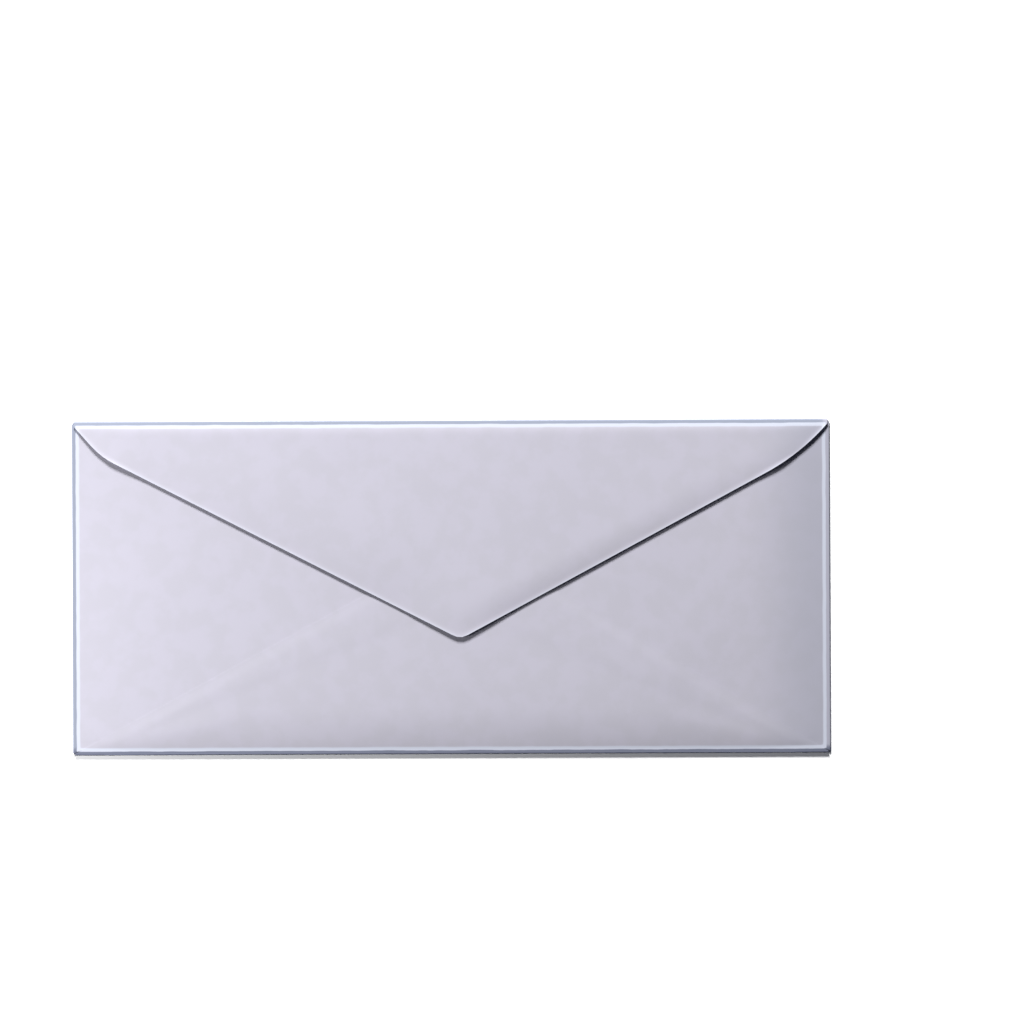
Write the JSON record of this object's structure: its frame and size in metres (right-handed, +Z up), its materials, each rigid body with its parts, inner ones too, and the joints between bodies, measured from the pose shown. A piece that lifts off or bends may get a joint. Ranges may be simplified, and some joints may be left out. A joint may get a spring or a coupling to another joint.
{
  "type": "paper envelope",
  "caption": "Long commercial paper envelope with slanting side seams and a deep pointed flap, empty and closed, lying with its back up.",
  "frame": {"origin": "middle of the flat front face that the envelope lies on", "axes": "+X along the envelope, to the right as its pointed flap is read, +Y towards the fold of that flap, +Z up, out of the back"},
  "size_m": [0.2412, 0.1062, 0.002],
  "materials": {
    "paper": "matte"
  },
  "bodies": {
    "root": {"envelope_sheet": "paper"}
  },
  "joints": []
}
